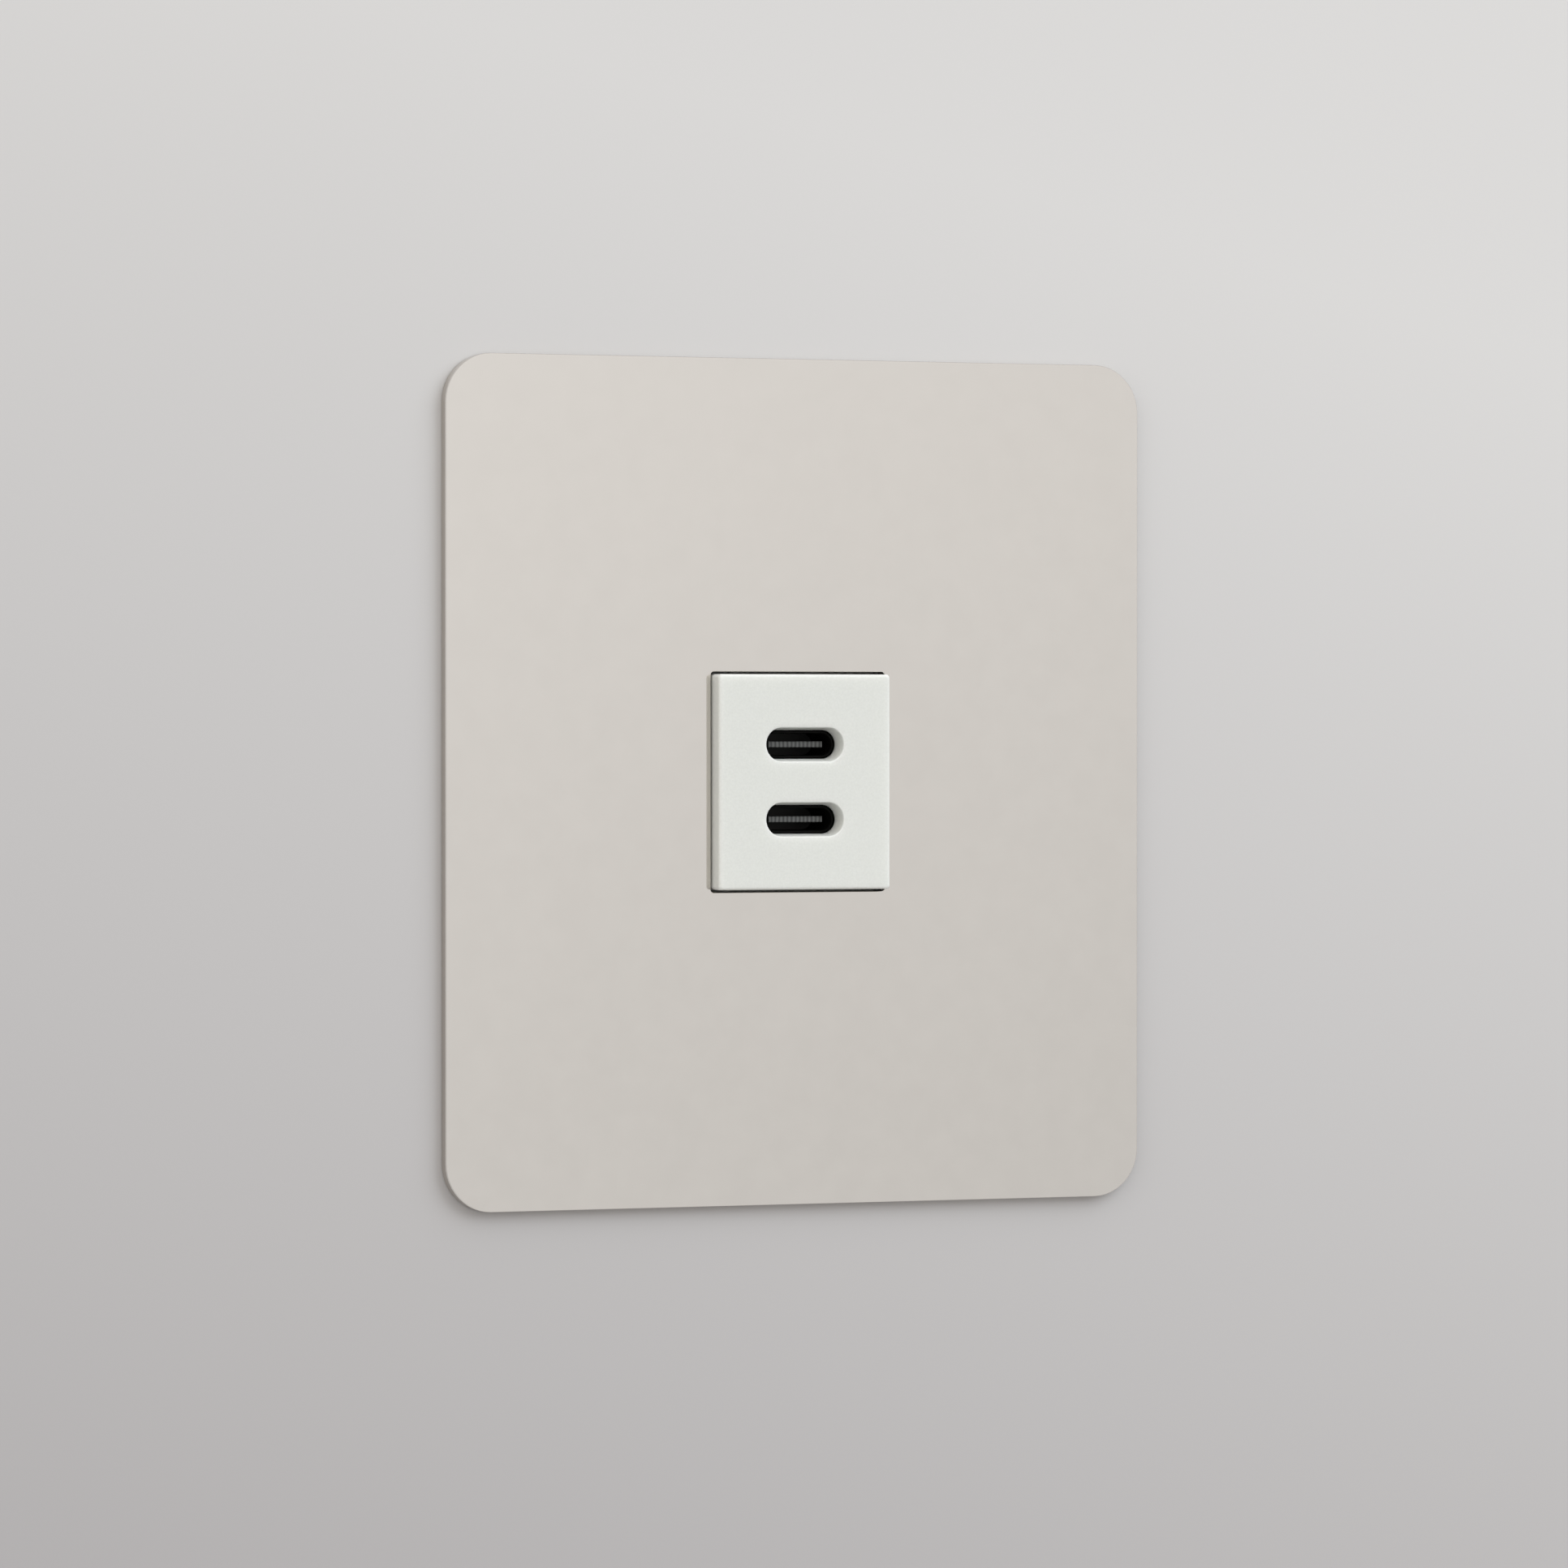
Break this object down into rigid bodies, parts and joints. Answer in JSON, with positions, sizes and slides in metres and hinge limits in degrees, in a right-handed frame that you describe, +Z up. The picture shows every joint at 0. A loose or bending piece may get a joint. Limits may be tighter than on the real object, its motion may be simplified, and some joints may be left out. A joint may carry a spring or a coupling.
{
  "type": "usb wall socket",
  "caption": "Flush wall socket with a flat screwless metal plate and a white raised bezel holding stacked USB-C charging ports, on a steel frame with a boxed charger behind.",
  "frame": {"origin": "middle of the front plate, on the wall surface that its back lies against", "axes": "+Z up, +X to the right as seen from the room, +Y into the wall"},
  "size_m": [0.086, 0.0331, 0.096],
  "materials": {
    "polished_nickel": "polished nickel plating",
    "zinc_steel": "bright zinc plated pressed steel",
    "screw_steel": "bright zinc plated steel",
    "brass": "bare brass",
    "white_moulding": "smooth white polycarbonate",
    "grey_moulding": "fine-textured grey polycarbonate",
    "natural_nylon": "natural nylon",
    "black_plated_steel": "black plated steel",
    "grey_polymer": "grey moulding compound",
    "gold_contact": "gold plated copper alloy",
    "green_board": "green solder mask on glass board",
    "black_moulding": "black moulding compound",
    "ferrite": "sintered ferrite",
    "taped_copper": "copper wire under yellow tape",
    "enamelled_copper": "enamelled copper wire",
    "sleeved_can": "aluminium can in a dark sleeve",
    "film_box": "yellow film capacitor box",
    "fuse_body": "brown fuse moulding"
  },
  "bodies": {
    "socket": {"mounting_frame": "zinc_steel", "fixing_screws": "screw_steel", "usb_bezel": "white_moulding", "case_cover": "grey_moulding", "rear_case": "grey_moulding", "socket_board": "green_board", "power_board": "green_board", "socket_board_screws": "screw_steel", "power_board_screws": "screw_steel", "port_chip": "black_moulding", "controller_chip": "black_moulding", "bridge_rectifier": "black_moulding", "header_block": "black_moulding", "header_pins": "gold_contact", "transformer_core": "ferrite", "transformer_bobbin": "black_moulding", "transformer_winding": "taped_copper", "input_capacitors": "sleeved_can", "output_capacitors": "sleeved_can", "film_capacitor": "film_box", "choke_core": "ferrite", "choke_winding": "enamelled_copper", "fuse": "fuse_body", "stud_clip_upper_left": "natural_nylon", "stud_clip_upper_right": "natural_nylon", "stud_clip_lower_left": "natural_nylon", "stud_clip_lower_right": "natural_nylon", "usb_shell_upper": "black_plated_steel", "usb_core_upper": "grey_polymer", "usb_contacts_upper": "gold_contact", "usb_shell_lower": "black_plated_steel", "usb_core_lower": "grey_polymer", "usb_contacts_lower": "gold_contact", "live_bus_strip": "brass", "neutral_bus_strip": "brass"},
    "plate": {"front_plate": "polished_nickel", "plate_studs": "zinc_steel"},
    "earth_washer": {"earth_washer": "brass"},
    "earth_screw": {"earth_screw": "brass"},
    "live_cage": {"live_cage": "brass"},
    "live_clamp_screw": {"live_clamp_screw": "screw_steel"},
    "neutral_cage": {"neutral_cage": "brass"},
    "neutral_clamp_screw": {"neutral_clamp_screw": "screw_steel"}
  },
  "joints": [
    {"name": "plate_pull", "type": "slide", "parent": "socket", "child": "plate", "axis": [0, -1, 0], "range_m": [0, 0.02]},
    {"name": "live_clamp_turn", "type": "hinge", "parent": "socket", "child": "live_clamp_screw", "pos_m": [-0.006, 0.0272, -0.019], "axis": [0, -1, 0], "range_deg": [0, 2017]},
    {"name": "live_cage_rise", "type": "slide", "parent": "socket", "child": "live_cage", "axis": [0, 1, 0], "range_m": [0, 0.0028]},
    {"name": "neutral_clamp_turn", "type": "hinge", "parent": "socket", "child": "neutral_clamp_screw", "pos_m": [0.006, 0.0272, -0.019], "axis": [0, -1, 0], "range_deg": [0, 2017]},
    {"name": "neutral_cage_rise", "type": "slide", "parent": "socket", "child": "neutral_cage", "axis": [0, 1, 0], "range_m": [0, 0.0028]},
    {"name": "earth_washer_rise", "type": "slide", "parent": "socket", "child": "earth_washer", "axis": [0, 0, 1], "range_m": [0, 0.002]},
    {"name": "earth_screw_turn", "type": "hinge", "parent": "earth_washer", "child": "earth_screw", "pos_m": [-0.0255, 0.011, -0.0287], "axis": [0, 0, 1], "range_deg": [0, 1201]}
  ],
  "couplings": [
    {"joint": "live_clamp_turn", "follows": "live_cage_rise", "rad_per_m": 12566},
    {"joint": "neutral_clamp_turn", "follows": "neutral_cage_rise", "rad_per_m": 12566},
    {"joint": "earth_screw_turn", "follows": "earth_washer_rise", "rad_per_m": 10472}
  ]
}
